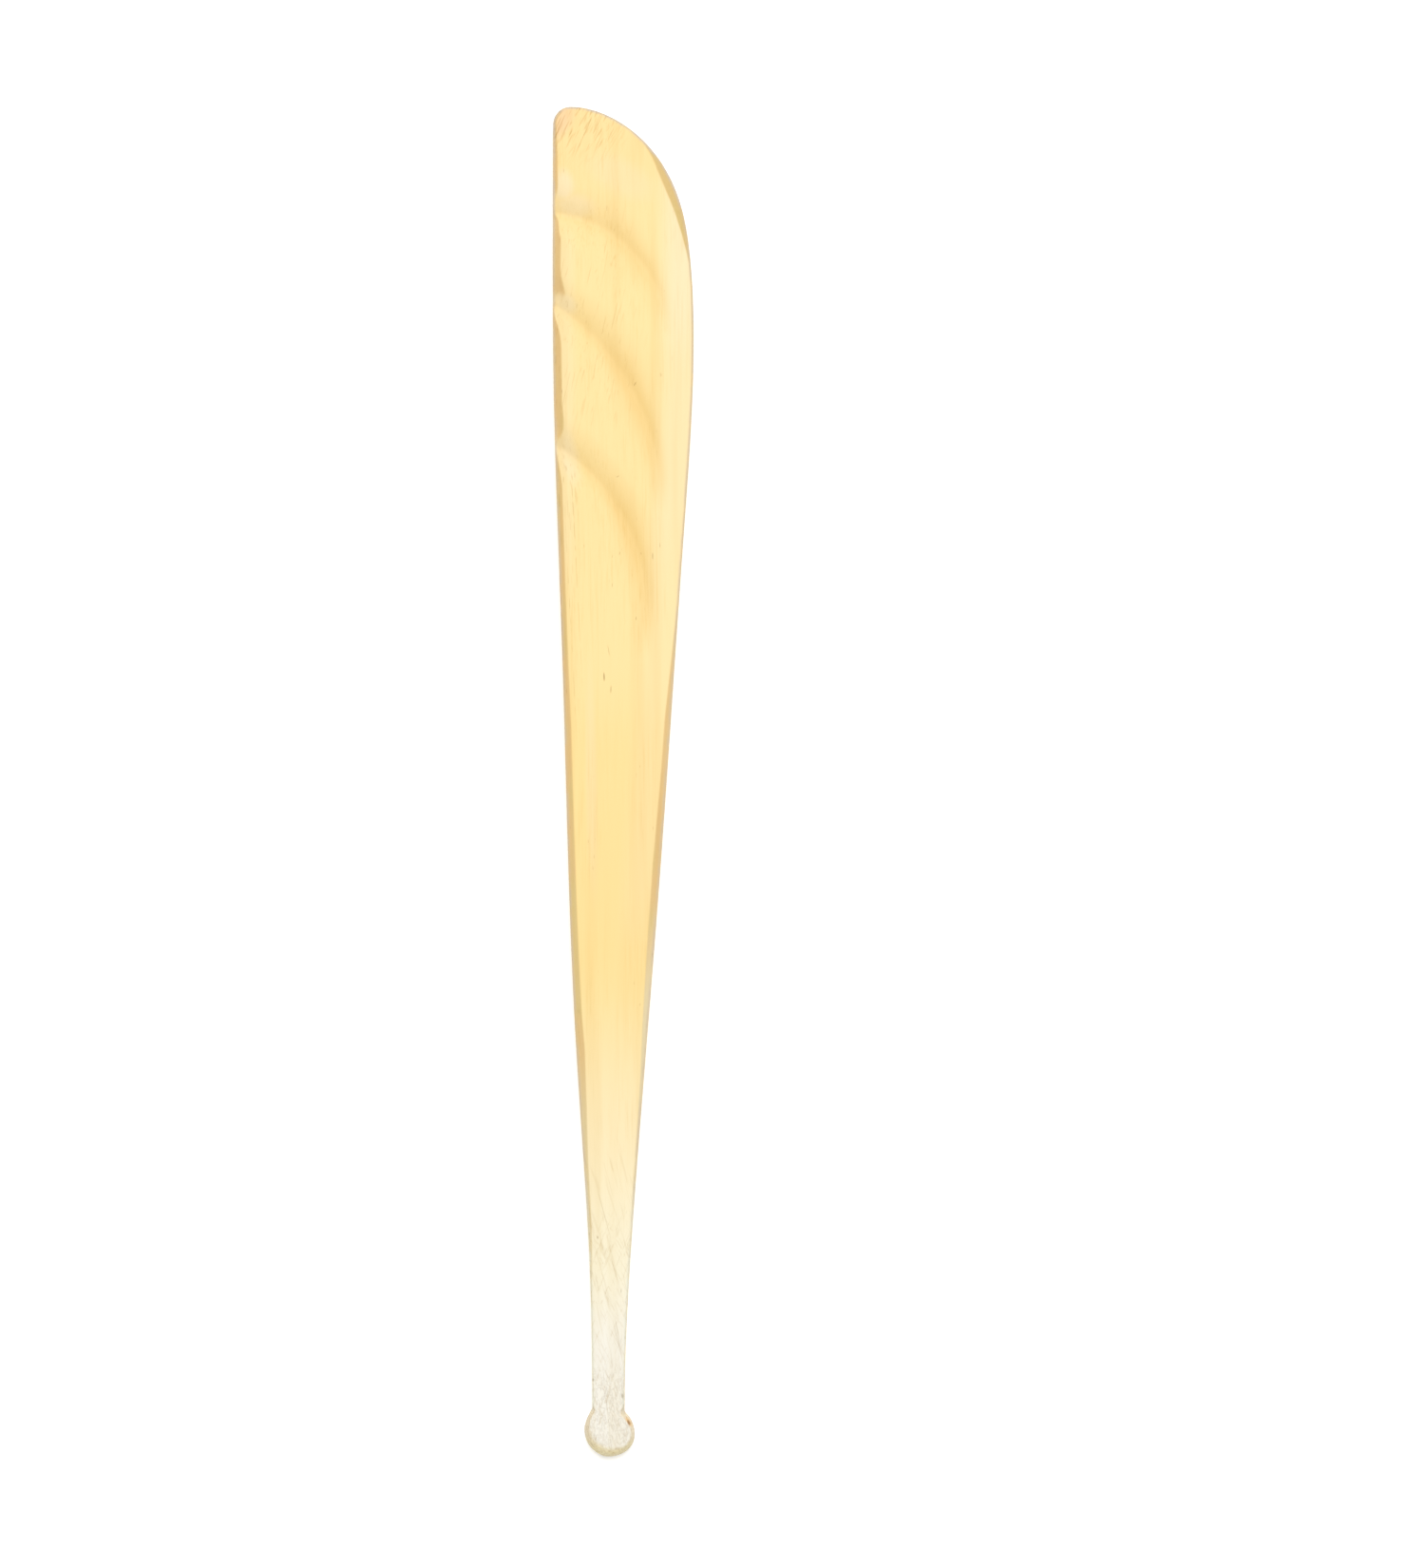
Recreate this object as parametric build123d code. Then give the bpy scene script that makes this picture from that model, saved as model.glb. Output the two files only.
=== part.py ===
from build123d import *
import os
from math import radians, sqrt, tan

# A wooden clay modelling tool, carved from one piece: a flat knife blade with three crescent flutes,
# a long tapering handle, and a small ball at the end of a slim neck.
# Frame, in millimetres: +Y runs from the ball to the blade's tip, +X to the blade's cutting edge,
# +Z out of the fluted face. The origin is under the middle of the tool, on the plane of its flat back.

# ---------------------------------------------------------------- driving dimensions
LENGTH = 150.0               # ball's end to blade's tip
BLADE_WIDTH = 15.6           # widest, across the blade
TIP_CORNER_RADIUS = 2.0      # where the spine meets the tip

SPINE_THICKNESS = 5.0        # along the thick edge of the blade, and in the handle
TIP_THICKNESS = 3.8
NECK_THICKNESS = 3.7
CUTTING_EDGE_DROP = 1.5      # the cutting edge is this much thinner than the spine

BALL_DIAMETER = 5.5
BALL_X = -1.56               # the ball lies to the spine's side of the middle
NECK_FILLET = 0.5            # hollow corner between the neck and the ball
NECK_CORE_RADIUS = 1.72      # the round core of the neck that the hollow corner meets

BEVEL_FOOT = 4.1             # the front bevels start at this height, at 45 degrees
BACK_ROUNDING = 0.7
EDGE_FACET_ANGLE = 40.0      # flat cut that thins the cutting edge near the tip

# ---------------------------------------------------------------- places worked out from them
TIP_Y = LENGTH / 2
SPINE_X = -BLADE_WIDTH / 2
EDGE_X = BLADE_WIDTH / 2
BALL_RADIUS = BALL_DIAMETER / 2
BALL_Y = BALL_RADIUS - LENGTH / 2
BLANK_THICKNESS = SPINE_THICKNESS + 0.6

# The thick edge, from the tip's corner down to the ball: straight along the blade, then tapering.
SPINE_POINTS = [
    (SPINE_X, TIP_Y - TIP_CORNER_RADIUS),
    (SPINE_X + 0.1, 43.0),
    (-6.78, 15.0),
    (-5.20, -30.0),
    (-3.72, -54.0),
    (-3.42, BALL_Y),
]
# The cutting edge: a full curve from the tip to the widest place, then a long taper.
WIDEST_Y = 49.5
TIP_CURVE_POINTS = [
    (SPINE_X + TIP_CORNER_RADIUS, TIP_Y),
    (0.0, 73.1),
    (5.42, 66.8),
    (7.42, 58.3),
    (EDGE_X, WIDEST_Y),
]
EDGE_POINTS = [
    (EDGE_X, WIDEST_Y),
    (6.70, 27.7),
    (4.05, -10.3),
    (1.08, -48.3),
    (0.14, BALL_Y),
]

# Between these places along Y the thickness swells, and falls away to the tip; between the next two
# the face turns from level to its slope across the blade.
SWELL_START, SWELL_END = -60.0, 0.0
TIP_FALL_START = 45.0
SLOPE_START, SLOPE_END = -40.0, 50.0
FACE_SECTIONS = 9

# The chord of the flat cut near the tip.
EDGE_FACET_START = (2.9, 70.3)
EDGE_FACET_END = (7.25, 58.0)

# Floor lines of the flutes: start beyond the spine, middle, and end where each one runs out.
FLUTES = [
    ((-8.6, 63.1), (1.2, 58.7), (4.7, 48.9)),
    ((-8.6, 53.5), (-1.2, 46.9), (4.1, 29.4)),
    ((-8.6, 38.0), (-0.2, 29.7), (2.0, 13.3)),
]
# Along each floor line: how far along, the depth, and the reach of the flute's two sides, of which
# the one towards the tip is rounded and the one towards the ball is flat.
FLUTE_SECTIONS = [
    (0.0, 0.90, 3.4, 2.6),
    (0.4, 0.60, 3.3, 5.0),
    (0.7, 0.35, 2.0, 6.0),
    (1.0, 0.03, 1.2, 3.0),
]
CLEARANCE = 1.0              # how far a cutter stands above what it cuts


def ease(value, start, end):
    """0 before start, 1 after end, and a smooth rise between them."""
    along = min(max((value - start) / (end - start), 0.0), 1.0)
    return along * along * (3.0 - 2.0 * along)


def face_height(x, y):
    """Height of the front face before it is fluted."""
    swell = (SPINE_THICKNESS - NECK_THICKNESS) * ease(y, SWELL_START, SWELL_END)
    past_fall = max(y - TIP_FALL_START, 0.0) / (TIP_Y - TIP_FALL_START)
    fall = (SPINE_THICKNESS - TIP_THICKNESS) * past_fall ** 2
    slope = CUTTING_EDGE_DROP / BLADE_WIDTH * ease(y, SLOPE_START, SLOPE_END)
    return NECK_THICKNESS + swell - fall - slope * (x - SPINE_X)


def sides():
    """The tool's outline seen from the front, from the ball up the spine, over the tip and back down."""
    spine = Spline(*reversed(SPINE_POINTS), tangents=[(0, 1), (0, 1)])
    corner = RadiusArc(SPINE_POINTS[0], TIP_CURVE_POINTS[0], TIP_CORNER_RADIUS)
    tip_curve = Spline(*TIP_CURVE_POINTS, tangents=[(1, 0), (0, -1)])
    edge = Spline(*EDGE_POINTS, tangents=[(0, -1), (0, -1)])
    return Wire([spine, corner, tip_curve, edge])


def blank():
    """The outline with a rounded back, before its ball is added and its face is shaped."""
    closing = Line(EDGE_POINTS[-1], SPINE_POINTS[-1])
    body = extrude(make_face([*sides().edges(), closing]), BLANK_THICKNESS)
    back = body.faces().sort_by(Axis.Z)[0]
    corners = [edge for edge in back.edges() if edge.center().Y > BALL_Y + BALL_RADIUS]
    return fillet(corners, BACK_ROUNDING)


def ball():
    """The whole ball, with the hollow corner that joins it to the middle of the neck."""
    reach = BALL_RADIUS + NECK_FILLET
    hollow_x = NECK_CORE_RADIUS + NECK_FILLET
    hollow_y = sqrt(reach ** 2 - hollow_x ** 2)
    touch = Vector(hollow_x, hollow_y) * (BALL_RADIUS / reach)
    core_bottom = (NECK_CORE_RADIUS, hollow_y)
    core_top = hollow_y + BALL_RADIUS
    half_section = make_face([
        ThreePointArc((0, -BALL_RADIUS), (BALL_RADIUS, 0), touch),
        RadiusArc(touch, core_bottom, NECK_FILLET),
        Polyline(core_bottom, (NECK_CORE_RADIUS, core_top), (0, core_top), (0, -BALL_RADIUS)),
    ])
    return Pos(BALL_X, BALL_Y, NECK_THICKNESS / 2) * revolve(half_section, Axis.Y)


def bevels():
    """The wood cut off the front corners, all the way round at 45 degrees."""
    x, y = SPINE_POINTS[-1]
    rise = BLANK_THICKNESS - BEVEL_FOOT + 0.1
    section = make_face(Polyline(
        (x - CLEARANCE, y, BEVEL_FOOT - CLEARANCE),
        (x + rise, y, BEVEL_FOOT + rise),
        (x - CLEARANCE, y, BEVEL_FOOT + rise),
        close=True,
    ))
    return sweep(section, sides())


def above_face():
    """Everything in front of the front face."""
    left = SPINE_X - BLADE_WIDTH
    right = EDGE_X + BLADE_WIDTH
    top = BLANK_THICKNESS + CLEARANCE
    spacing = (LENGTH + 2 * CLEARANCE) / (FACE_SECTIONS - 1)
    sections = []
    for i in range(FACE_SECTIONS):
        y = TIP_Y + CLEARANCE - i * spacing
        sections.append(make_face(Polyline(
            (left, y, face_height(left, y)),
            (right, y, face_height(right, y)),
            (right, y, top + BLADE_WIDTH),
            (left, y, top + BLADE_WIDTH),
            close=True,
        )))
    return loft(sections)


def edge_facet():
    """The wood that one flat stroke takes off the cutting edge, where it curves to the tip."""
    start = Vector(*EDGE_FACET_START, face_height(*EDGE_FACET_START))
    end = Vector(*EDGE_FACET_END, face_height(*EDGE_FACET_END))
    chord = end - start
    outward = Vector(-chord.Y, chord.X, 0).normalized()
    fall = Vector(0, 0, -tan(radians(EDGE_FACET_ANGLE)))
    stroke = Plane(origin=(start + end) / 2, x_dir=chord, z_dir=chord.cross(outward + fall))
    above = (Align.CENTER, Align.CENTER, Align.MIN)
    return stroke * Box(2 * chord.length, BLADE_WIDTH, BLADE_WIDTH, align=above)


def flute(start, middle, end):
    """The wood that one crescent cut takes away, lofted through sections across its floor line."""
    floor_line = ThreePointArc(start, middle, end)
    up = Vector(0, 0, 1)
    sections = []
    for along, depth, rounded_reach, flat_reach in FLUTE_SECTIONS:
        place = floor_line @ along
        across = up.cross(floor_line % along).normalized()
        floor = place + up * (face_height(place.X, place.Y) - depth)
        rounded = place + across * rounded_reach
        rounded += up * face_height(rounded.X, rounded.Y)
        flat = place - across * flat_reach
        flat += up * face_height(flat.X, flat.Y)
        with BuildLine() as wire:
            Line(flat, floor)
            ThreePointArc(floor, (floor + rounded) * 0.5 + up * depth / 4, rounded)
            Polyline(rounded, rounded + up * CLEARANCE, flat + up * CLEARANCE, flat)
        sections.append(make_face(wire.line))
    return loft(sections)


def below_back():
    """Everything behind the flat back."""
    return Box(2 * LENGTH, 2 * LENGTH, BALL_DIAMETER, align=(Align.CENTER, Align.CENTER, Align.MAX))


def carved_body():
    """The whole tool: one piece of wood."""
    body = blank() - bevels() + ball()
    body = body - above_face() - below_back() - edge_facet()
    for floor_line in FLUTES:
        body = body - flute(*floor_line)
    return body.solid()


os.makedirs("parts", exist_ok=True)
tool = carved_body()
tool.label = "carved_wood_body"
export_step(tool, "parts/carved_wood_body.step")
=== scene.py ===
import math

import bmesh
import bpy
import numpy as np
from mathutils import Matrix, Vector


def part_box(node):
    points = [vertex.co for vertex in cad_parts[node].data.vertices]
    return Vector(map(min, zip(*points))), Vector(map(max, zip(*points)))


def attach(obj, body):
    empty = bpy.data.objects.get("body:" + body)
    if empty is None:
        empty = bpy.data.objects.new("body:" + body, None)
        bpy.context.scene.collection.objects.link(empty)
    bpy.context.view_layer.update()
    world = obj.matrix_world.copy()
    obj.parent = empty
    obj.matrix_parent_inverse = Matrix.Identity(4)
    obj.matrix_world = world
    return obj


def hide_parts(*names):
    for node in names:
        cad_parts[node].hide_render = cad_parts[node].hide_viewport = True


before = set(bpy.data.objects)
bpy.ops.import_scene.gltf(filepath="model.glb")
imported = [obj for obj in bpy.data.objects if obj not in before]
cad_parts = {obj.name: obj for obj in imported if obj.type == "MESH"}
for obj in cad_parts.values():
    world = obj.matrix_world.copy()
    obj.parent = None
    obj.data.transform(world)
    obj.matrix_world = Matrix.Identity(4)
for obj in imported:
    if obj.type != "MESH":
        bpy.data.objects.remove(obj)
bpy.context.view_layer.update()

# A one-piece carved wooden clay modelling tool. Lengths are in millimetres until the mesh and the
# camera are made. +Y points to the blade's tip, +X to its cutting edge and +Z out of the fluted face.

NODE = "carved_wood_body"
NODE_LOW, NODE_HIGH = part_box(NODE)
DESIGN_LENGTH = 150.0
MM = (NODE_HIGH.y - NODE_LOW.y) / DESIGN_LENGTH

# ---------------------------------------------------------------- the tool's size
TIP_Y = DESIGN_LENGTH / 2
SPINE_X = -7.8
EDGE_X = 7.8
WIDTH = EDGE_X - SPINE_X
TIP_CORNER_RADIUS = 2.0
SPINE_THICKNESS = 5.0
TIP_THICKNESS = 3.8
NECK_THICKNESS = 3.7
CUTTING_EDGE_DROP = 1.5
BACK_ROUNDING = 0.7

BALL_RADIUS = 2.75
BALL_X = -1.56
BALL_Y = BALL_RADIUS - TIP_Y
BALL_Z = NECK_THICKNESS / 2
# On each side, how softly the neck turns into the ball, then the direction in degrees in which the
# ball is lumpy, and by how much.
SPINE_SIDE_BALL = (1.5, -45.0, -0.05)
EDGE_SIDE_BALL = (0.25, -28.0, 0.14)
LUMP_SPREAD = 30.0
# Where the ball's rim stands fuller or leaner than a sphere's: direction, amount and spread in degrees.
BALL_FULLNESS = [(20.0, 0.45, 45.0), (135.0, 0.35, 30.0), (-110.0, -0.15, 60.0)]

# ---------------------------------------------------------------- the outline, seen from the front
SPINE_POINTS = [
    (SPINE_X, TIP_Y - TIP_CORNER_RADIUS),
    (SPINE_X + 0.1, 43.0),
    (-6.78, 15.0),
    (-5.20, -30.0),
    (-3.72, -54.0),
    (-3.44, BALL_Y + BALL_RADIUS),
]
WIDEST_Y = 49.5
TIP_CURVE_POINTS = [
    (SPINE_X + TIP_CORNER_RADIUS, TIP_Y),
    (0.0, 73.1),
    (5.42, 66.8),
    (7.42, 58.3),
    (EDGE_X, WIDEST_Y),
]
EDGE_POINTS = [
    (EDGE_X, WIDEST_Y),
    (6.70, 27.7),
    (4.05, -10.3),
    (1.08, -48.3),
    (0.12, BALL_Y + BALL_RADIUS),
]
OUTLINE_STEP = 0.04

# ---------------------------------------------------------------- the front face
SWELL_START, SWELL_END = -60.0, 0.0
TIP_FALL_START = 45.0
SLOPE_START, SLOPE_END = -40.0, 50.0

# How wide the cut-off corners are along the spine and along the cutting edge, from tip to neck.
SPINE_BEVEL = [
    (75, 0.30), (70, 0.50), (64, 0.60), (62.6, 1.25), (62, 1.15), (61, 0.93), (57, 0.88), (56, 0.98),
    (55, 1.28), (54.2, 1.60), (53.6, 1.58), (53, 1.25), (52.5, 0.82), (51.5, 0.73), (50, 0.93),
    (42, 0.92), (39, 1.15), (37, 0.78), (34, 0.68), (20, 0.62), (13, 0.65), (5, 0.75), (-25, 0.85),
    (-30, 0.95), (-36, 0.75), (-42, 0.50), (-50, 0.40), (-56, 0.15), (-70, 0.10),
]
EDGE_BEVEL = [
    (75, 0.12), (71.2, 0.15), (69.5, 0.50), (68, 0.85), (66.8, 1.02), (65.5, 1.05), (64, 0.95),
    (62, 0.75), (60, 0.48), (57.5, 0.15), (20, 0.10), (14, 0.35), (7, 0.65), (1, 0.65), (-9, 0.85),
    (-19, 0.78), (-27, 0.60), (-32, 0.40), (-38, 0.25), (-60, 0.10),
]
EDGE_WEAR = 0.10             # rounding of the line between a bevel and the face
BALL_WEAR = 0.30             # the same round the ball's flat front
BALL_START, BALL_FULL = 3.4, 1.8   # above the ball's middle, where its round shape begins and is whole
ARRIS_START, ARRIS_END = 0.04, 0.40   # how far in from the outline the painted shade along its edge reaches

# Floor lines of the flutes: start beyond the spine, middle, and end where each one runs out. The last
# number is how strongly painted shade darkens the hollow.
FLUTES = [
    ((-8.6, 63.1), (1.2, 58.7), (4.7, 48.9), 0.65),
    ((-8.6, 53.5), (-1.2, 46.9), (4.1, 29.4), 1.0),
    ((-8.6, 38.0), (-0.2, 29.7), (2.0, 13.3), 1.0),
]
# Along a floor line: the place from 0 to 1, the depth, the reach of the rounded side and of the flat
# side, the strength of the painted shade, and its reach over the rounded side and over the flat side.
FLUTE_SHAPE = np.array([
    (0.00, 0.90, 3.4, 2.6, 0.45, 2.2, 0.4),
    (0.25, 0.70, 3.8, 3.4, 0.60, 2.2, 0.6),
    (0.40, 0.60, 3.3, 5.0, 1.05, 2.0, 0.9),
    (0.55, 0.48, 2.6, 6.0, 1.10, 1.3, 1.6),
    (0.70, 0.35, 2.0, 6.0, 0.85, 1.0, 1.4),
    (0.85, 0.20, 1.6, 5.0, 0.60, 0.9, 1.2),
    (1.00, 0.00, 1.2, 3.0, 0.00, 0.8, 1.2),
])
FLUTE_CREASE = 0.30           # how far the floor line is rounded, as a share of the depth

# ---------------------------------------------------------------- how finely the mesh is cut
FRONT_COLUMNS = 112
BACK_COLUMNS = 36
WALL_COLUMNS = 7
COLUMN_CROWDING = 0.9        # from 0 for even columns to 1 for columns that crowd to both ends
SLANTED_ROWS = 130           # from the tip's corner to where the rows lie straight across
ROW_CROWDING = 0.65          # the same for those rows, crowding to the corner
STRAIGHT_FROM = 44.0
# The straight rows: from one place to the next, and how far apart.
ROW_ZONES = [(STRAIGHT_FROM, 8.0, 0.26), (8.0, -55.0, 0.36), (-55.0, -68.5, 0.25), (-68.5, -73.4, 0.11)]
POLE_ROWS = 22
BALL_OUTLINE_POINTS = 200
NEARBY = 12.0                # outline further off than this, along the tool, can't be nearest
SAME_POINT = 1e-7            # metres; points at a pinched end are closer than this, and are joined


def ease(value, start, end):
    """0 before start, 1 after end, and a smooth rise between them."""
    along = np.clip((value - start) / (end - start), 0.0, 1.0)
    return along * along * (3.0 - 2.0 * along)


def soft_minimum(a, b, rounding):
    """The lower of two heights, with the crease between them rounded."""
    blend = np.clip(0.5 + 0.5 * (b - a) / rounding, 0.0, 1.0)
    return b + (a - b) * blend - rounding * blend * (1.0 - blend)


def spline(points, start_tangent, end_tangent):
    """Points closely spaced along a smooth curve through a few, with the given end directions."""
    p = np.array(points, float)
    knots = np.concatenate([[0.0], np.cumsum(np.hypot(*np.diff(p, axis=0).T))])
    h = np.diff(knots)
    n = len(p)
    matrix = np.eye(n)
    slopes = np.zeros((n, 2))
    slopes[0], slopes[-1] = start_tangent, end_tangent
    for i in range(1, n - 1):
        matrix[i, i - 1:i + 2] = h[i], 2 * (h[i - 1] + h[i]), h[i - 1]
        slopes[i] = 3 * (h[i] * (p[i] - p[i - 1]) / h[i - 1] + h[i - 1] * (p[i + 1] - p[i]) / h[i])
    slopes = np.linalg.solve(matrix, slopes)
    pieces = []
    for i in range(n - 1):
        t = np.linspace(0.0, 1.0, max(int(h[i] / OUTLINE_STEP), 4), endpoint=False)[:, None]
        pieces.append(
            (2 * t ** 3 - 3 * t ** 2 + 1) * p[i] + (t ** 3 - 2 * t ** 2 + t) * h[i] * slopes[i]
            + (3 * t ** 2 - 2 * t ** 3) * p[i + 1] + (t ** 3 - t ** 2) * h[i] * slopes[i + 1]
        )
    return np.vstack(pieces + [p[-1:]])


def arc(centre, radius, start, end):
    """Points closely spaced along an arc, its angles in degrees."""
    count = max(int(abs(math.radians(end - start)) * radius / OUTLINE_STEP), 6)
    angles = np.radians(np.linspace(start, end, count))
    return np.array(centre) + radius * np.stack([np.cos(angles), np.sin(angles)], axis=1)


def neck_and_ball(neck_x, side, hollow, lump_at, lump):
    """The outline on one side of the ball, from the neck down to the ball's end. The ball swells or
    shrinks by lump about the direction lump_at, in degrees above straight out."""
    angles = np.linspace(math.pi / 2, -math.pi / 2, BALL_OUTLINE_POINTS)
    radius = BALL_RADIUS + lump * np.exp(-((np.degrees(angles) - lump_at) / LUMP_SPREAD) ** 2)
    out = radius * np.cos(angles)
    y = BALL_Y + radius * np.sin(angles)
    neck = side * (neck_x - BALL_X) * ease(y, BALL_Y - 2.0, BALL_Y + 0.5)
    out = -soft_minimum(-out, -neck, hollow)
    out[-1] = 0.0
    return np.stack([BALL_X + side * out, y], axis=1)


def side_curves():
    """The outline's spine side and cutting-edge side, each from the tip's corner to the ball's end."""
    corner = (SPINE_X + TIP_CORNER_RADIUS, TIP_Y - TIP_CORNER_RADIUS)
    down = (0.0, -1.0)
    spine = np.vstack([
        arc(corner, TIP_CORNER_RADIUS, 135.0, 180.0),
        spline(SPINE_POINTS, down, down)[1:],
        neck_and_ball(SPINE_POINTS[-1][0], -1, *SPINE_SIDE_BALL)[1:],
    ])
    edge = np.vstack([
        arc(corner, TIP_CORNER_RADIUS, 135.0, 90.0),
        spline(TIP_CURVE_POINTS, (1.0, 0.0), down)[1:],
        spline(EDGE_POINTS, down, down)[1:],
        neck_and_ball(EDGE_POINTS[-1][0], 1, *EDGE_SIDE_BALL)[1:],
    ])
    return spine, edge


def arc_length(curve):
    """How far along a curve each of its points lies."""
    return np.concatenate([[0.0], np.cumsum(np.hypot(*np.diff(curve, axis=0).T))])


def at_length(curve, lengths):
    """The points at these lengths along a curve."""
    total = arc_length(curve)
    x = np.interp(lengths, total, curve[:, 0])
    y = np.interp(lengths, total, curve[:, 1])
    return np.stack([x, y], axis=1)


def at_height(curve, y):
    """The points of a curve that runs down at these values of y."""
    return np.stack([np.interp(-y, -curve[:, 1], curve[:, 0]), y], axis=1)


def row_ends(spine, edge):
    """Where each row of the mesh starts on the spine side and ends on the edge side.
    Rows lie slanted at the tip's corner, and straight across from STRAIGHT_FROM to the ball's end."""
    along = np.linspace(0.0, 1.0, SLANTED_ROWS, endpoint=False)
    along = along * (1.0 - ROW_CROWDING + ROW_CROWDING * along)
    ends = []
    for curve in (spine, edge):
        full = np.interp(-STRAIGHT_FROM, -curve[:, 1], arc_length(curve))
        ends.append([at_length(curve, along * full)])
    levels = [np.arange(high, low, -step) for high, low, step in ROW_ZONES]
    last = ROW_ZONES[-1][1]
    pole = np.linspace(math.asin((BALL_Y - last) / BALL_RADIUS), math.pi / 2, POLE_ROWS)
    levels = np.concatenate(levels + [BALL_Y - BALL_RADIUS * np.sin(pole)])
    for curve, side in zip((spine, edge), ends):
        side.append(at_height(curve, levels))
    left, right = np.vstack(ends[0]), np.vstack(ends[1])
    left[-1] = right[-1] = (BALL_X, BALL_Y - BALL_RADIUS)
    return left, right


def distance_to(curve, x, y):
    """How far each point lies from a curve, measured to its nearest straight piece."""
    out = np.empty(x.shape)
    a = curve[:-1:3]
    b = np.vstack([curve[3::3], curve[-1:]])[:len(a)]
    run = b - a
    squared = np.maximum((run ** 2).sum(axis=1), 1e-12)
    for i in range(len(x)):
        near = np.abs(a[:, 1] - y[i].mean()) < NEARBY + np.ptp(y[i])
        dx = x[i][:, None] - a[near, 0]
        dy = y[i][:, None] - a[near, 1]
        t = np.clip((dx * run[near, 0] + dy * run[near, 1]) / squared[near], 0.0, 1.0)
        out[i] = np.sqrt(((dx - t * run[near, 0]) ** 2 + (dy - t * run[near, 1]) ** 2).min(axis=1))
    return out


def plain_face(x, y):
    """Height of the front face before it is bevelled and fluted."""
    swell = (SPINE_THICKNESS - NECK_THICKNESS) * ease(y, SWELL_START, SWELL_END)
    past_fall = np.maximum(y - TIP_FALL_START, 0.0) / (TIP_Y - TIP_FALL_START)
    fall = (SPINE_THICKNESS - TIP_THICKNESS) * past_fall ** 2
    slope = CUTTING_EDGE_DROP / WIDTH * ease(y, SLOPE_START, SLOPE_END)
    return NECK_THICKNESS + swell - fall - slope * (x - SPINE_X)


def circle_through(a, b, c):
    """Centre and radius of the circle through three points."""
    (ax, ay), (bx, by), (cx, cy) = a, b, c
    d = 2 * (ax * (by - cy) + bx * (cy - ay) + cx * (ay - by))
    squares = ax * ax + ay * ay, bx * bx + by * by, cx * cx + cy * cy
    x = (squares[0] * (by - cy) + squares[1] * (cy - ay) + squares[2] * (ay - by)) / d
    y = (squares[0] * (cx - bx) + squares[1] * (ax - cx) + squares[2] * (bx - ax)) / d
    return x, y, math.hypot(ax - x, ay - y)


def flute_cut(x, y, start, middle, end, strength):
    """How deep one crescent flute is at each point, and how strongly shade is painted on the wood
    there.
    """
    cx, cy, radius = circle_through(start, middle, end)
    first = math.atan2(start[1] - cy, start[0] - cx)
    sweep = math.atan2(end[1] - cy, end[0] - cx) - first
    along = (np.arctan2(y - cy, x - cx) - first) / sweep
    across = np.hypot(x - cx, y - cy) - radius
    depth, rounded, flat, shade, shade_out, shade_in = (
        np.interp(along, FLUTE_SHAPE[:, 0], column) for column in FLUTE_SHAPE.T[1:]
    )
    rounded_side = np.maximum(1.0 - across / rounded, 0.0) ** 2
    flat_side = np.maximum(1.0 + across / flat, 0.0) ** 1.25
    cut = np.maximum(soft_minimum(rounded_side, flat_side, FLUTE_CREASE), 0.0)
    reach = np.where(across > 0, shade_out, shade_in)
    return depth * cut, strength * shade * np.exp(-(across / reach) ** 2)


def front_and_back(x, y, to_spine, to_edge):
    """Heights of the tool's front and back, then masks of the front: all of it, where it is bevelled,
    where a flute's shade is painted, and its outermost edge. Last comes a mask of the ball's underside."""
    cut, shaded = np.zeros(x.shape), np.zeros(x.shape)
    for flute in FLUTES:
        this_cut, this_shaded = flute_cut(x, y, *flute)
        cut, shaded = np.maximum(cut, this_cut), np.maximum(shaded, this_shaded)
    face = plain_face(x, y)
    front = face - cut

    spine_bevel = np.interp(-y, [-k for k, _ in SPINE_BEVEL], [w for _, w in SPINE_BEVEL])
    edge_bevel = np.interp(-y, [-k for k, _ in EDGE_BEVEL], [w for _, w in EDGE_BEVEL])
    rim = np.minimum(face - spine_bevel + to_spine, face - edge_bevel + to_edge)

    inside = np.minimum(to_spine, to_edge)
    back_inside = np.minimum(inside, BACK_ROUNDING)
    back = BACK_ROUNDING - np.sqrt(BACK_ROUNDING ** 2 - (BACK_ROUNDING - back_inside) ** 2)

    off_middle = np.maximum(BALL_RADIUS - inside, 0.0)
    round_height = np.sqrt(np.maximum(BALL_RADIUS ** 2 - off_middle ** 2, 0.0))
    from_ball = np.degrees(np.arctan2(y - BALL_Y, x - BALL_X))
    for direction, amount, width in BALL_FULLNESS:
        off = (from_ball - direction + 180.0) % 360.0 - 180.0
        round_height = round_height * (1.0 + amount * np.exp(-(off / width) ** 2))
    round_height = np.minimum(round_height, BALL_RADIUS)
    in_ball = 1.0 - ease(y, BALL_Y + BALL_FULL, BALL_Y + BALL_START)
    rim = rim + (BALL_Z + round_height - rim) * in_ball
    back = back + (np.maximum(BALL_Z - round_height, 0.0) - back) * in_ball

    wear = EDGE_WEAR + (BALL_WEAR - EDGE_WEAR) * in_ball
    top = soft_minimum(front, rim, wear)
    masks = {
        "front": np.ones(x.shape),
        "bevel": ease(front - rim, -wear, wear),
        "flute_shade": shaded,
        "arris": (1.0 - ease(inside, ARRIS_START, ARRIS_END)) * (1.0 - in_ball),
    }
    underside = in_ball * ease(back, 0.0, 0.15)
    return top, back, masks, underside


def spread(count):
    """Places from 0 to 1, closer together towards both ends."""
    even = np.linspace(0.0, 1.0, count + 1)
    crowded = 0.5 - 0.5 * np.cos(math.pi * even)
    return COLUMN_CROWDING * crowded + (1.0 - COLUMN_CROWDING) * even


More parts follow.
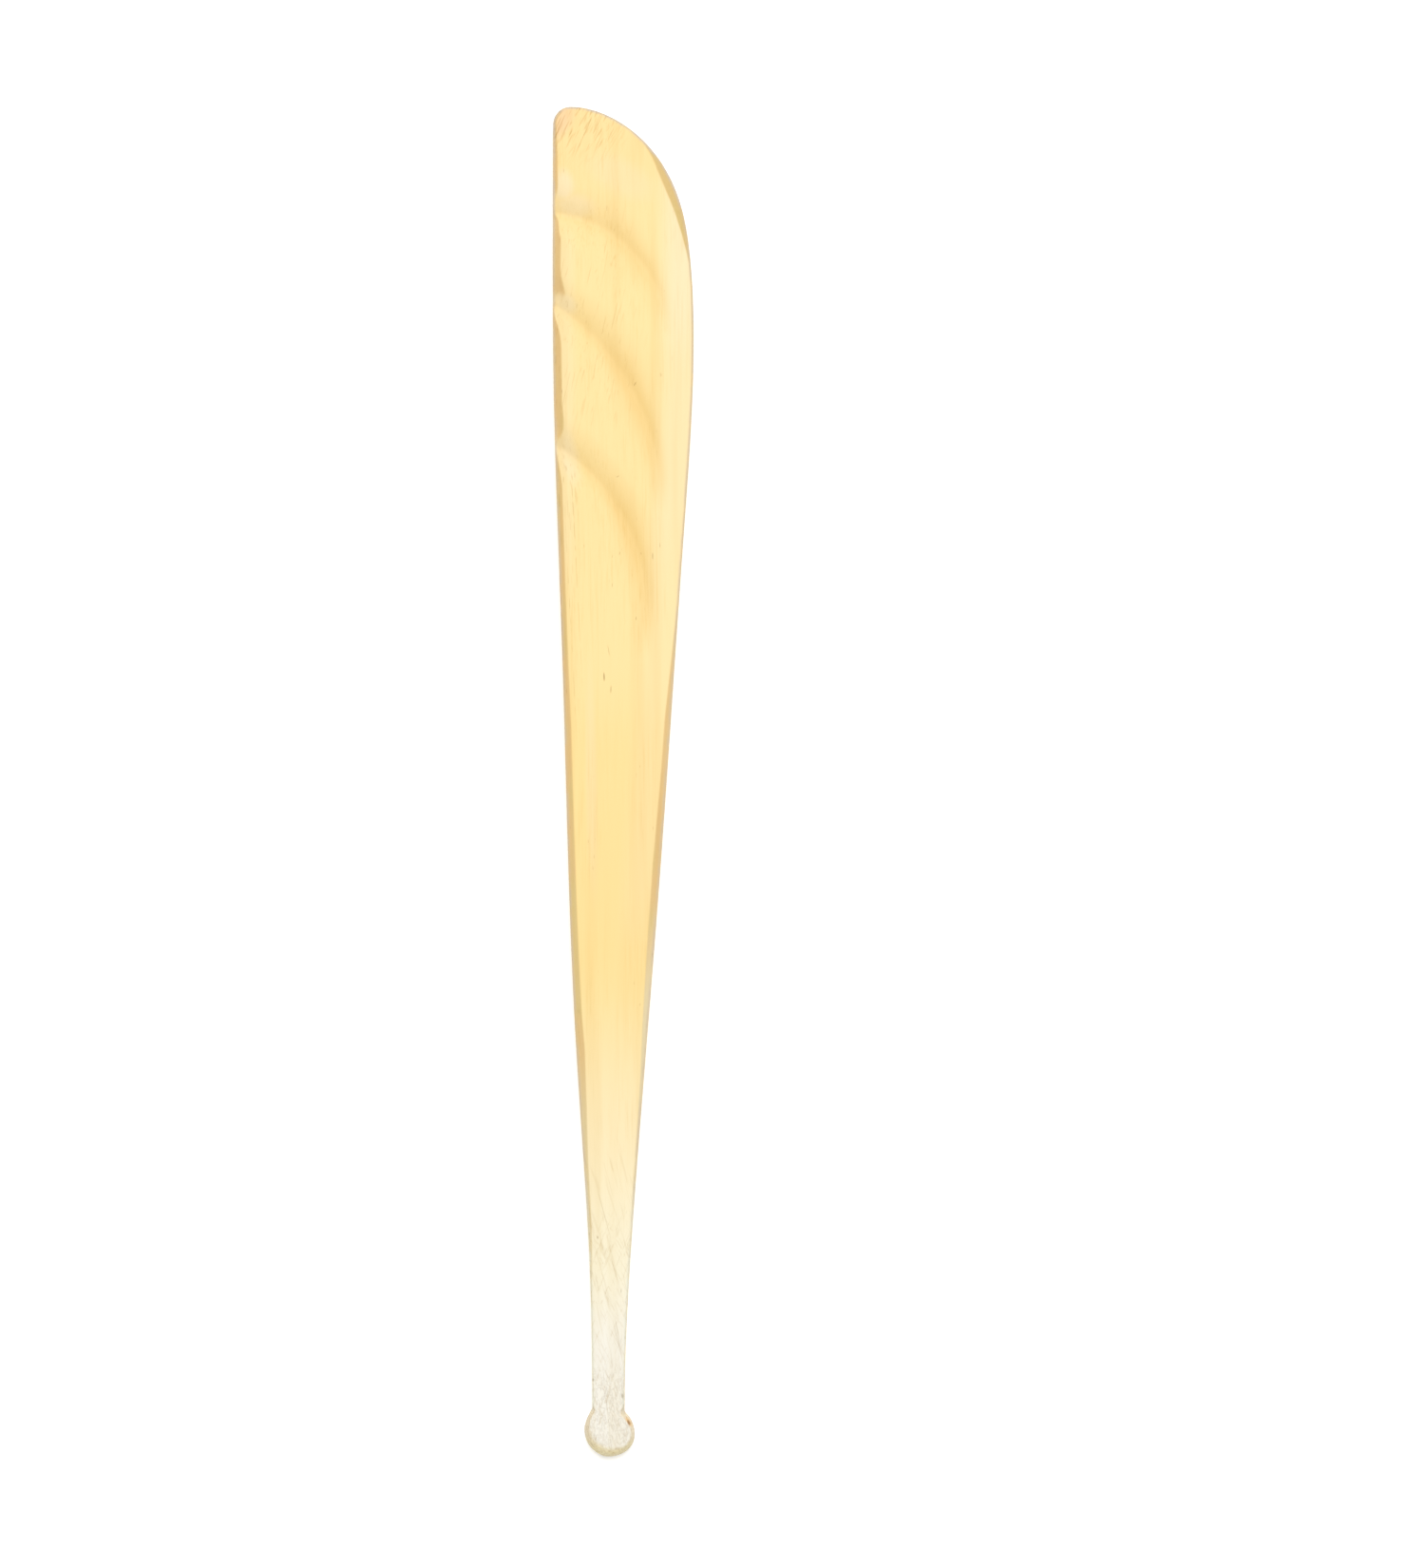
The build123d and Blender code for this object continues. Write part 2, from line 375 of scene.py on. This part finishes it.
def tool_mesh():
    """The tool as a tube of rows, pinched shut at the tip's corner and at the ball's end, and the masks
    of its points. Each row runs over the front, down one wall, back under the tool and up the other."""
    spine, edge = side_curves()
    left, right = row_ends(spine, edge)
    rows = len(left)

    def across(places):
        x = left[:, :1] + (right[:, :1] - left[:, :1]) * places
        y = left[:, 1:] + (right[:, 1:] - left[:, 1:]) * places
        return x, y

    def heights(places):
        x, y = across(places)
        to_spine, to_edge = distance_to(spine, x, y), distance_to(edge, x, y)
        to_spine[:, 0] = 0.0
        to_edge[:, -1] = 0.0
        return x, y, front_and_back(x, y, to_spine, to_edge)

    x, y, (top, _, masks, _) = heights(spread(FRONT_COLUMNS))
    back_x, back_y, (_, back, _, underside) = heights(spread(BACK_COLUMNS)[::-1])
    wall = spread(WALL_COLUMNS)[1:-1]
    down_z = top[:, -1:] + (back[:, :1] - top[:, -1:]) * wall
    up_z = back[:, -1:] + (top[:, :1] - back[:, -1:]) * wall

    def along_wall(column):
        return np.repeat(column, len(wall), axis=1)

    loops = np.stack([
        np.hstack([x, along_wall(x[:, -1:]), back_x, along_wall(x[:, :1])]),
        np.hstack([y, along_wall(y[:, -1:]), back_y, along_wall(y[:, :1])]),
        np.hstack([top, down_z, back, up_z]),
    ], axis=2)
    off_front = np.zeros((rows, loops.shape[1] - x.shape[1]))
    masks = {name: np.hstack([values, off_front]) for name, values in masks.items()}
    # Under the ball, its walls and its underside off the floor take the bevels' mask, and with it their
    # painted shade.
    walls_and_back = [along_wall(underside[:, :1]), underside, along_wall(underside[:, -1:])]
    masks["bevel"][:, x.shape[1]:] = np.hstack(walls_and_back)
    return loops, masks


def make_tool():
    """The tool's object, with its masks stored on its points for the material."""
    loops, masks = tool_mesh()
    rows, around = loops.shape[:2]
    here = np.arange(rows * around).reshape(rows, around)
    beside = np.roll(here, -1, axis=1)
    faces = np.stack([here[:-1], here[1:], beside[1:], beside[:-1]], axis=2).reshape(-1, 4)

    mesh = bpy.data.meshes.new(NODE + "_carved")
    mesh.from_pydata((loops.reshape(-1, 3) * MM).tolist(), [], faces.tolist())
    for name, values in masks.items():
        mask = mesh.attributes.new(name, "FLOAT", "POINT")
        mask.data.foreach_set("value", values.ravel().astype(np.float32))
    shell = bmesh.new()
    shell.from_mesh(mesh)
    bmesh.ops.remove_doubles(shell, verts=shell.verts, dist=SAME_POINT)
    bmesh.ops.recalc_face_normals(shell, faces=shell.faces)
    shell.to_mesh(mesh)
    shell.free()
    mesh.shade_smooth()
    tool = bpy.data.objects.new("carved_tool", mesh)
    bpy.context.scene.collection.objects.link(tool)
    return tool


# ---------------------------------------------------------------- the wood
# Colours as linear red, green and blue.
STRAW = (0.850, 0.655, 0.300)
DEEP_STRAW = (0.850, 0.631, 0.262)
TIP_STRAW = (0.850, 0.632, 0.284)
# The next colour is painted light along the cutting edge.
CUTTING_EDGE_PAINTED_LIGHT = (0.850, 0.695, 0.420)
SANDED_STRAW = (0.845, 0.700, 0.415)
SANDED = (0.820, 0.755, 0.565)
BALL_WOOD = (0.800, 0.765, 0.670)
# The next seven are painted shade: the bevels, the facet by the tip and the ball's rim, darker than the
# face.
BEVEL_PAINTED_SHADE = (0.722, 0.495, 0.212)
OLIVE_BEVEL_PAINTED_SHADE = (0.685, 0.515, 0.213)
FACET_PAINTED_SHADE = (0.610, 0.445, 0.160)
HANDLE_BEVEL_PAINTED_SHADE = (0.700, 0.560, 0.295)
PALE_BEVEL_PAINTED_SHADE = (0.740, 0.620, 0.370)
BALL_RIM_PAINTED_SHADE = (0.825, 0.720, 0.440)
PALE_RIM_PAINTED_SHADE = (0.790, 0.685, 0.490)
# The next two are painted shade on the walls, darker than the face and paler down the handle where it
# is sanded.
SIDE_PAINTED_SHADE = (0.740, 0.530, 0.235)
SANDED_SIDE_PAINTED_SHADE = (0.760, 0.640, 0.420)
# The next three are painted shade along the outermost edge.
ARRIS_PAINTED_SHADE = (0.600, 0.485, 0.330)
TIP_ARRIS_PAINTED_SHADE = (0.560, 0.475, 0.400)
NECK_ARRIS_PAINTED_SHADE = (0.700, 0.700, 0.580)
RUBBED = (0.805, 0.695, 0.480)
BURN = (0.780, 0.450, 0.130)
BURN_CORE = (0.300, 0.140, 0.040)
# Tones the wood is multiplied by.
GRAIN_DARK = (0.92, 0.87, 0.76)
PORE = (0.50, 0.43, 0.34)
# The next tone is painted shade along the flutes' floors, partly also the warmer wood of the hollow.
FLUTE_PAINTED_SHADE = (0.93, 0.85, 0.70)
TIP_BLUSH = (0.95, 0.88, 1.00)
SCRATCH_TONE = (0.80, 0.72, 0.60)
MOTTLE_TONE = (0.80, 0.76, 0.72)

# Single marks on the front: place, direction in degrees, length, width and strength.
MARKS = [
    ((-2.1, 11.7), 92.0, 1.3, 0.18, 0.80),
    ((-1.35, 10.3), 88.0, 1.2, 0.14, 0.50),
    ((-1.6, 14.6), 100.0, 1.6, 0.12, 0.35),
    ((1.3, 44.2), 60.0, 0.7, 0.20, 0.45),
    ((-0.6, 33.9), 30.0, 0.5, 0.18, 0.35),
    ((-3.38, -66.3), 80.0, 0.5, 0.45, 0.60),
    ((-0.10, -68.1), 100.0, 0.9, 0.30, 0.50),
    ((-2.84, -50.5), 85.0, 0.5, 0.20, 0.50),
]
# Long sanding scratches down the lower handle, the same way.
LONG_SCRATCHES = [
    ((-2.2, -47.6), 105.0, 8.5, 0.13, 0.60),
    ((-1.0, -54.0), 106.0, 5.0, 0.14, 0.50),
    ((-0.65, -60.8), 101.5, 3.8, 0.13, 0.70),
    ((-0.6, -62.0), 103.0, 6.4, 0.13, 0.65),
    ((-0.35, -62.6), 100.0, 3.4, 0.13, 0.65),
    ((-2.9, -55.5), 100.0, 3.5, 0.12, 0.40),
    ((-1.3, -64.0), 96.0, 3.0, 0.12, 0.40),
]
# Places rubbed pale, where the flutes run out over the spine and down the handle, the same way.
RUBBED_PLACES = [
    ((-6.7, 66.2), 95.0, 5.0, 3.4, 0.55),
    ((-5.4, 64.0), 170.0, 6.0, 3.6, 0.35),
    ((-6.4, 53.2), 145.0, 4.0, 2.4, 0.35),
    ((-6.0, 36.0), 105.0, 9.0, 3.0, 0.35),
    ((-0.2, 67.2), 150.0, 11.0, 5.5, 0.22),
    ((-3.5, 0.0), 91.0, 32.0, 1.8, 0.22),
]
# Places where the bevel along the spine is worn pale, the same way.
WORN_CORNERS = [
    ((-7.4, 64.3), 100.0, 3.2, 2.6, 0.80),
    ((-6.7, 53.1), 140.0, 4.6, 2.6, 0.85),
    ((-7.0, 37.2), 135.0, 3.8, 2.0, 0.80),
]
# The pinkish wood at the tip's corner, and the burn on the ball with its dark middle, the same way.
PINK_CORNER = [((-7.2, 73.4), 60.0, 7.0, 4.0, 1.0)]
BURN_MARK = [((0.62, -71.00), 124.0, 1.7, 0.50, 0.65)]
BURN_MIDDLE = [((0.60, -71.05), 118.0, 0.9, 0.34, 0.85)]


class Nodes:
    """Short ways to add the shader nodes of one material. Each takes sockets or plain values."""

    def __init__(self, material):
        self.tree = material.node_tree
        in_millimetres = self.make("ShaderNodeVectorMath", operation="SCALE")
        self.link(self.make("ShaderNodeTexCoord").outputs["Object"], in_millimetres.inputs[0])
        self.link(1.0 / MM, in_millimetres.inputs["Scale"])
        self.place = in_millimetres.outputs[0]
        split = self.make("ShaderNodeSeparateXYZ")
        self.link(self.place, split.inputs[0])
        self.x = split.outputs["X"]
        self.y = split.outputs["Y"]

    def make(self, kind, **settings):
        node = self.tree.nodes.new(kind)
        for name, value in settings.items():
            setattr(node, name, value)
        return node

    def link(self, value, socket):
        if isinstance(value, bpy.types.NodeSocket):
            self.tree.links.new(value, socket)
        elif isinstance(value, tuple) and socket.type == "RGBA":
            socket.default_value = (*value, 1.0)
        else:
            socket.default_value = value

    def math(self, operation, a, b=0.0):
        node = self.make("ShaderNodeMath", operation=operation)
        self.link(a, node.inputs[0])
        self.link(b, node.inputs[1])
        return node.outputs[0]

    def times(self, *factors):
        product = factors[0]
        for factor in factors[1:]:
            product = self.math("MULTIPLY", product, factor)
        return product

    def plus(self, *terms):
        total = terms[0]
        for term in terms[1:]:
            total = self.math("ADD", total, term)
        return total

    def rise(self, value, start, end):
        """0 at start, 1 at end, and a smooth rise between them."""
        falls = start > end
        node = self.make("ShaderNodeMapRange", interpolation_type="SMOOTHSTEP")
        self.link(value, node.inputs["Value"])
        self.link(min(start, end), node.inputs["From Min"])
        self.link(max(start, end), node.inputs["From Max"])
        self.link(1.0 if falls else 0.0, node.inputs["To Min"])
        self.link(0.0 if falls else 1.0, node.inputs["To Max"])
        return node.outputs[0]

    def between(self, value, first, second, third, fourth):
        """Rises from first to second, and falls from third to fourth."""
        return self.times(self.rise(value, first, second), self.rise(value, fourth, third))

    def stretched(self, across, along, turn=0.0, shift=0.0):
        """The place, turned in plan and squeezed: across and along are features per millimetre."""
        turned = self.make("ShaderNodeMapping", vector_type="TEXTURE")
        self.link(self.place, turned.inputs["Vector"])
        self.link((shift, shift, 0.0), turned.inputs["Location"])
        self.link((0.0, 0.0, math.radians(turn)), turned.inputs["Rotation"])
        self.link((1.0 / across, 1.0 / along, 1.0 / across), turned.inputs["Scale"])
        return turned.outputs[0]

    def noise(self, vector, detail=2.0, roughness=0.5, distortion=0.0):
        node = self.make("ShaderNodeTexNoise")
        self.link(vector, node.inputs["Vector"])
        self.link(1.0, node.inputs["Scale"])
        self.link(detail, node.inputs["Detail"])
        self.link(roughness, node.inputs["Roughness"])
        self.link(distortion, node.inputs["Distortion"])
        return node.outputs["Fac"]

    def scratches(self, turn, apart, length, share, seed):
        """Straight scratches, 0 between them and 1 on them: the direction in degrees from along the
        tool, how far apart and how long they are, and how much of the surface has any."""
        lines = self.noise(self.stretched(1.3 / apart, 0.002, turn, seed), detail=0.0)
        broken = self.noise(self.stretched(0.8 / apart, 1.0 / length, turn, seed + 50.0), detail=1.0)
        starts = 0.66 - 0.32 * share
        return self.times(self.rise(lines, 0.54, 0.68), self.rise(broken, starts, starts + 0.12))

    def marks(self, marks):
        """Single drawn-out marks, 1 times their strength in the middle and fading to the outside."""
        total = 0.0
        for place, direction, length, width, strength in marks:
            local = self.make("ShaderNodeMapping", vector_type="TEXTURE")
            self.link(self.place, local.inputs["Vector"])
            self.link((*place, 0.0), local.inputs["Location"])
            self.link((0.0, 0.0, math.radians(direction)), local.inputs["Rotation"])
            self.link((length / 2, width / 2, 1e6), local.inputs["Scale"])
            away = self.make("ShaderNodeVectorMath", operation="LENGTH")
            self.link(local.outputs[0], away.inputs[0])
            mark = self.times(self.rise(away.outputs["Value"], 1.0, 0.3), strength)
            total = self.math("MAXIMUM", total, mark)
        return total

    def attribute(self, name):
        """One of the masks stored on the mesh."""
        return self.make("ShaderNodeAttribute", attribute_name=name).outputs["Fac"]

    def mix(self, share, a, b, blend="MIX"):
        """Colour a where share is 0, and b, or a blended with b, where it is 1."""
        node = self.make("ShaderNodeMix", data_type="RGBA", blend_type=blend)
        factor = node.inputs[0]
        first_colour = node.inputs[6]
        second_colour = node.inputs[7]
        self.link(share, factor)
        self.link(a, first_colour)
        self.link(b, second_colour)
        return node.outputs[2]


def wood():
    """Close-grained pale wood, bare and dry: long grain, short pores, sanded pale towards the ball."""
    material = bpy.data.materials.new("bare_boxwood")
    material.use_nodes = True
    n = Nodes(material)
    front = n.attribute("front")
    bevel = n.attribute("bevel")

    # long grain
    broad = n.noise(n.stretched(0.55, 0.015), detail=3.0)
    cloud = n.noise(n.stretched(0.25, 0.06), detail=2.0)
    fine = n.noise(n.stretched(5.0, 0.12), detail=3.0, roughness=0.6)
    streaks = n.times(n.rise(fine, 0.48, 0.74), n.rise(cloud, 0.35, 0.65))
    pore_field = n.noise(n.stretched(4.5, 0.7, 0.0, 40.0), detail=1.0)
    pores = n.times(n.rise(pore_field, 0.73, 0.82), n.rise(cloud, 0.45, 0.62))

    # sanding scratches, each set in its own stretch of the front
    on_tip = n.times(n.rise(n.y, 67.5, 72.5), n.rise(n.x, 1.5, -2.5))
    on_blade = n.times(n.between(n.y, 34.0, 44.0, 60.0, 66.0), n.rise(n.x, 4.0, -2.0))
    on_spine = n.times(n.between(n.y, -2.0, 10.0, 34.0, 40.0), n.rise(n.x, -4.0, -5.8))
    on_handle = n.between(n.y, -67.0, -60.0, -44.0, -36.0)
    on_crossings = n.between(n.y, -68.0, -62.0, -52.0, -45.0)
    on_ball = n.rise(n.y, -62.0, -68.0)
    scratched = n.math("MINIMUM", 1.0, n.times(front, n.plus(
        n.times(n.scratches(-25.0, 0.26, 8.0, 0.85, 0.0), on_tip, 0.65),
        n.times(n.scratches(-31.0, 0.24, 7.0, 0.65, 3.0), on_tip, 0.50),
        n.times(n.scratches(-12.0, 0.24, 3.0, 0.45, 7.0), on_blade, 0.4),
        n.times(n.scratches(3.0, 0.24, 2.0, 0.70, 9.0), on_spine, 0.6),
        n.times(n.scratches(13.0, 0.28, 3.0, 0.55, 13.0), on_handle, 0.28),
        n.times(n.scratches(18.0, 0.36, 5.0, 0.45, 17.0), on_handle, 0.25),
        n.times(n.scratches(-22.0, 0.22, 0.9, 0.60, 19.0), on_crossings, 0.35),
        n.times(n.scratches(28.0, 0.22, 0.8, 0.60, 21.0), on_crossings, 0.3),
        n.times(n.scratches(6.0, 0.26, 0.9, 0.75, 23.0), on_ball, 0.45),
        n.times(n.scratches(-16.0, 0.26, 0.6, 0.65, 29.0), on_ball, 0.4),
        n.times(n.scratches(24.0, 0.26, 0.6, 0.60, 37.0), on_ball, 0.35),
    )))
    curls = n.noise(n.stretched(2.8, 1.2, 0.0, 31.0), detail=2.0, distortion=0.4)
    from_line = n.math("ABSOLUTE", n.math("SUBTRACT", curls, 0.5))
    mottle = n.times(n.rise(from_line, 0.06, 0.0), on_ball, front)
    single = n.times(n.marks(MARKS), front)
    long_marks = n.times(n.marks(LONG_SCRATCHES), front)

    # the wood of the face along the tool
    colour = n.mix(n.rise(n.y, 58.0, 70.0), STRAW, TIP_STRAW)
    colour = n.mix(n.between(n.y, -28.0, -18.0, 2.0, 14.0), colour, DEEP_STRAW)
    # paler margins: painted light follows the cutting edge as it slants in below the blade, and one
    # lies by the spine
    to_edge = n.plus(n.x, n.times(n.math("MINIMUM", n.y, 45.0), -0.075))
    painted_light_margin = n.times(n.rise(to_edge, -0.3, 2.8), n.rise(n.y, -24.0, -10.0))
    blade_share = n.times(n.rise(n.y, 18.0, 32.0), 0.25)
    tip_share = n.times(n.rise(n.y, 44.0, 54.0), 0.4)
    edge_share = n.plus(0.3, blade_share, tip_share)
    colour = n.mix(n.times(painted_light_margin, edge_share), colour, CUTTING_EDGE_PAINTED_LIGHT)
    spine_margin = n.times(n.rise(n.x, -4.8, -6.4), n.between(n.y, 16.0, 28.0, 58.0, 64.0))
    colour = n.mix(n.times(spine_margin, 0.25), colour, RUBBED)
    # sanded paler and paler towards the ball
    colour = n.mix(n.rise(n.y, -22.0, -40.0), colour, SANDED_STRAW)
    colour = n.mix(n.rise(n.y, -36.0, -56.0), colour, SANDED)
    colour = n.mix(n.rise(n.y, -53.0, -64.0), colour, BALL_WOOD)
    # rubbed places, the flutes' painted shade and the tip's corner, then painted shade on the walls off
    # the front
    colour = n.mix(n.times(n.marks(RUBBED_PLACES), front), colour, RUBBED)
    colour = n.mix(n.times(n.attribute("flute_shade"), front), colour, FLUTE_PAINTED_SHADE, "MULTIPLY")
    corner = n.times(n.marks(PINK_CORNER), front)
    colour = n.mix(corner, colour, TIP_BLUSH, "MULTIPLY")
    side_painted_shade = n.mix(n.rise(n.y, -15.0, -50.0), SIDE_PAINTED_SHADE, SANDED_SIDE_PAINTED_SHADE)
    colour = n.mix(front, side_painted_shade, colour)

    # painted shade on the bevels, darker on the facet by the tip, with an olive tone through the wood;
    # it pales down the handle, sooner on the cutting edge's side
    olive = n.rise(n.noise(n.stretched(0.3, 0.12, 0.0, 5.0)), 0.40, 0.62)
    bevel_tone_and_shade = n.mix(olive, BEVEL_PAINTED_SHADE, OLIVE_BEVEL_PAINTED_SHADE)
    on_facet = n.times(n.rise(n.x, 0.0, 3.0), n.rise(n.y, 50.0, 60.0), 0.6)
    bevel_tone_and_shade = n.mix(on_facet, bevel_tone_and_shade, FACET_PAINTED_SHADE)
    handle_bevel_shade = n.mix(n.rise(n.x, -3.0, -0.5), HANDLE_BEVEL_PAINTED_SHADE, PALE_BEVEL_PAINTED_SHADE)
    slanted = n.plus(n.y, n.times(n.x, -2.0))
    bevel_tone_and_shade = n.mix(n.rise(slanted, -18.0, -31.0), bevel_tone_and_shade, handle_bevel_shade)
    ball_rim_shade = n.mix(n.rise(n.y, -72.0, -74.0), PALE_RIM_PAINTED_SHADE, BALL_RIM_PAINTED_SHADE)
    bevel_tone_and_shade = n.mix(n.rise(n.y, -56.0, -68.0), bevel_tone_and_shade, ball_rim_shade)
    # Worn corners on the spine's bevel are left without the painted shade.
    worn = n.math("SUBTRACT", 1.0, n.marks(WORN_CORNERS))
    colour = n.mix(n.times(bevel, worn), colour, bevel_tone_and_shade)

    # the grain through both, and painted shade along the outermost edge
    colour = n.mix(n.times(n.rise(broad, 0.45, 0.70), 0.5), colour, GRAIN_DARK, "MULTIPLY")
    colour = n.mix(n.times(streaks, 0.6), colour, GRAIN_DARK, "MULTIPLY")
    patches = n.rise(n.noise(n.stretched(0.9, 0.5, 0.0, 60.0)), 0.30, 0.60)
    edge_shade_strength = n.plus(n.times(patches, 0.5), 0.35)
    arris_painted_shade = n.mix(n.rise(n.y, 58.0, 68.0), ARRIS_PAINTED_SHADE, TIP_ARRIS_PAINTED_SHADE)
    arris_painted_shade = n.mix(n.rise(n.y, -40.0, -55.0), arris_painted_shade, NECK_ARRIS_PAINTED_SHADE)
    colour = n.mix(n.times(n.attribute("arris"), edge_shade_strength), colour, arris_painted_shade)

    # scratches, pores and the burn on the ball
    colour = n.mix(n.times(scratched, 0.9), colour, SCRATCH_TONE, "MULTIPLY")
    colour = n.mix(n.times(mottle, 0.45), colour, MOTTLE_TONE, "MULTIPLY")
    colour = n.mix(n.times(long_marks, 0.8), colour, SCRATCH_TONE, "MULTIPLY")
    colour = n.mix(n.math("MAXIMUM", n.times(pores, 0.4), single), colour, PORE, "MULTIPLY")
    colour = n.mix(n.marks(BURN_MARK), colour, BURN)
    colour = n.mix(n.marks(BURN_MIDDLE), colour, BURN_CORE)

    # height of the fine relief, in millimetres
    relief = n.plus(
        n.times(fine, 0.020), n.times(broad, 0.030), n.times(pores, -0.03), n.times(single, -0.05),
        n.times(long_marks, -0.03), n.times(scratched, -0.03), n.times(mottle, -0.02),
    )
    bump = n.make("ShaderNodeBump")
    bump.inputs["Distance"].default_value = MM
    n.link(relief, bump.inputs["Height"])

    shader = material.node_tree.nodes["Principled BSDF"]
    shader.inputs["Specular IOR Level"].default_value = 0.3
    n.link(colour, shader.inputs["Base Color"])
    n.link(n.plus(n.times(fine, 0.25), n.times(scratched, 0.1), 0.45), shader.inputs["Roughness"])
    n.link(bump.outputs["Normal"], shader.inputs["Normal"])
    return material


# ---------------------------------------------------------------- floor, light and camera
# The floor and the light are in metres.
FLOOR_SIZE = 4.0
FLOOR_GREY = 0.83
FLOOR_GLOW = 0.32             # keeps the floor white, with only a faint shadow
WORLD_STRENGTH = 0.50
KEY_PLACE = (0.12, 0.90, 2.86)
KEY_SIZE = 1.2
KEY_WATTS = 69.0
# The camera is in millimetres. It looks straight down at a point beside the tool.
VIEW_HEIGHT = 173.9
VIEW_MIDDLE = (9.91, -0.17)
CAMERA_HEIGHT = 604.0
FACE_LEVEL = 4.0              # the height at which the view is VIEW_HEIGHT high
SENSOR_SIZE = 36.0            # along the picture's height, which is its longer side


def make_floor():
    bpy.ops.mesh.primitive_plane_add(size=FLOOR_SIZE, location=(0, 0, 0))
    floor = bpy.context.object
    floor.name = "floor"
    white = bpy.data.materials.new("floor_white")
    white.use_nodes = True
    bsdf = white.node_tree.nodes["Principled BSDF"]
    bsdf.inputs["Base Color"].default_value = (FLOOR_GREY, FLOOR_GREY, FLOOR_GREY, 1)
    bsdf.inputs["Roughness"].default_value = 1.0
    bsdf.inputs["Specular IOR Level"].default_value = 0.0
    bsdf.inputs["Emission Color"].default_value = (1, 1, 1, 1)
    bsdf.inputs["Emission Strength"].default_value = FLOOR_GLOW
    floor.data.materials.append(white)


def area_light(name, place, target, size, watts):
    data = bpy.data.lights.new(name, "AREA")
    data.shape = "DISK"
    data.size = size
    data.energy = watts
    light = bpy.data.objects.new(name, data)
    light.location = place
    light.rotation_euler = (Vector(target) - Vector(place)).to_track_quat("-Z", "Y").to_euler()
    bpy.context.scene.collection.objects.link(light)


def make_light():
    world = bpy.data.worlds.new("studio")
    world.use_nodes = True
    background = world.node_tree.nodes["Background"]
    background.inputs["Color"].default_value = (1, 1, 1, 1)
    background.inputs["Strength"].default_value = WORLD_STRENGTH
    bpy.context.scene.world = world
    area_light("key", KEY_PLACE, (0, 0, 0), KEY_SIZE, KEY_WATTS)


def make_camera():
    data = bpy.data.cameras.new("camera")
    data.sensor_width = SENSOR_SIZE
    data.lens = SENSOR_SIZE * (CAMERA_HEIGHT - FACE_LEVEL) / VIEW_HEIGHT
    data.clip_start, data.clip_end = 0.01, 10.0
    camera = bpy.data.objects.new("camera", data)
    camera.location = (VIEW_MIDDLE[0] * MM, VIEW_MIDDLE[1] * MM, CAMERA_HEIGHT * MM)
    bpy.context.scene.collection.objects.link(camera)
    bpy.context.scene.camera = camera


tool = make_tool()
tool.data.materials.append(wood())
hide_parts(NODE)
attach(tool, "root")

make_floor()
make_light()
make_camera()
bpy.context.scene.view_settings.view_transform = "Standard"
